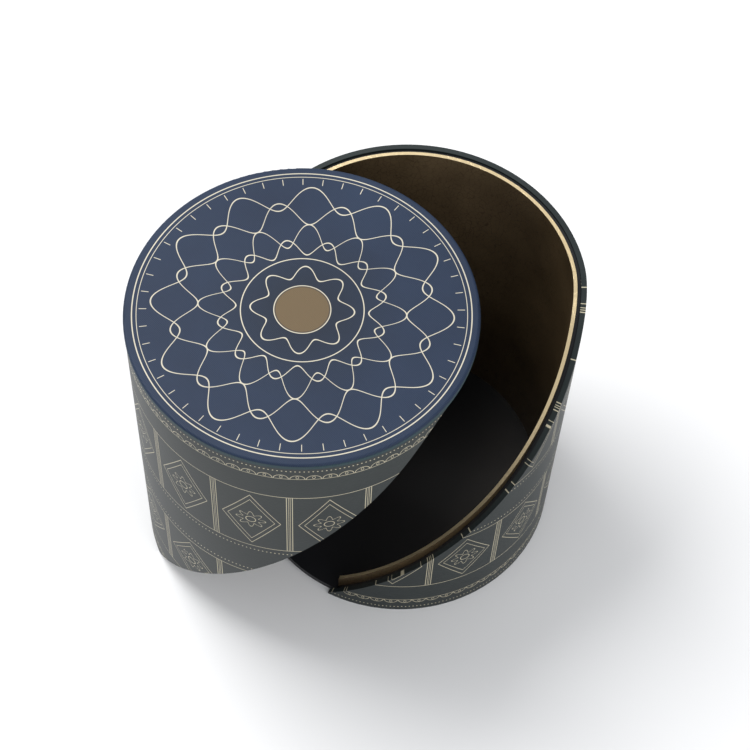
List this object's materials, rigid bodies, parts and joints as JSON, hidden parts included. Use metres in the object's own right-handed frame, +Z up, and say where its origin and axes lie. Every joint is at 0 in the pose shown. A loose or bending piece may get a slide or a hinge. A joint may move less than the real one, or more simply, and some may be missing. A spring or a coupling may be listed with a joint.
{
  "type": "round gift box with swinging lid",
  "caption": "Round rigid paper box whose wall is parted by a diagonal seam; the lid, with the top disc and its share of the wall, swings sideways on an upright fold at the back.",
  "frame": {"origin": "centre of the base's underside, on the axis of the base's wall", "axes": "+Z up along the base's axis, -Y towards the open seam in front, +X to the right seen from the front"},
  "size_m": [0.1962, 0.1692, 0.171],
  "materials": {
    "greyboard": "greyboard, matte",
    "black_board": "greyboard, matte",
    "black_paper": "paper, satin",
    "printed_paper": "paper, satin, with a fine cream line print",
    "bronze_paper": "paper, metallic satin",
    "blue_paper": "paper, linen texture, matte",
    "book_cloth": "matte"
  },
  "bodies": {
    "base": {"floor_board": "greyboard", "floor_lining": "black_paper", "bottom_sheet": "black_paper", "base_board": "greyboard", "base_wrap": "printed_paper", "base_spacer": "black_board", "neck_card": "greyboard", "neck_paper": "bronze_paper", "base_fold_tape": "book_cloth"},
    "lid": {"lid_disc": "greyboard", "lid_cover": "blue_paper", "lid_ceiling": "black_paper", "lid_board": "greyboard", "lid_wrap": "printed_paper", "lid_lining": "black_paper", "lid_fold_tape": "book_cloth"}
  },
  "joints": [
    {"name": "lid_fold", "type": "hinge", "parent": "base", "child": "lid", "pos_m": [-0.04999, 0.05591, 0], "axis": [0, 0, 1], "range_deg": [-101.3, 38.7]}
  ]
}
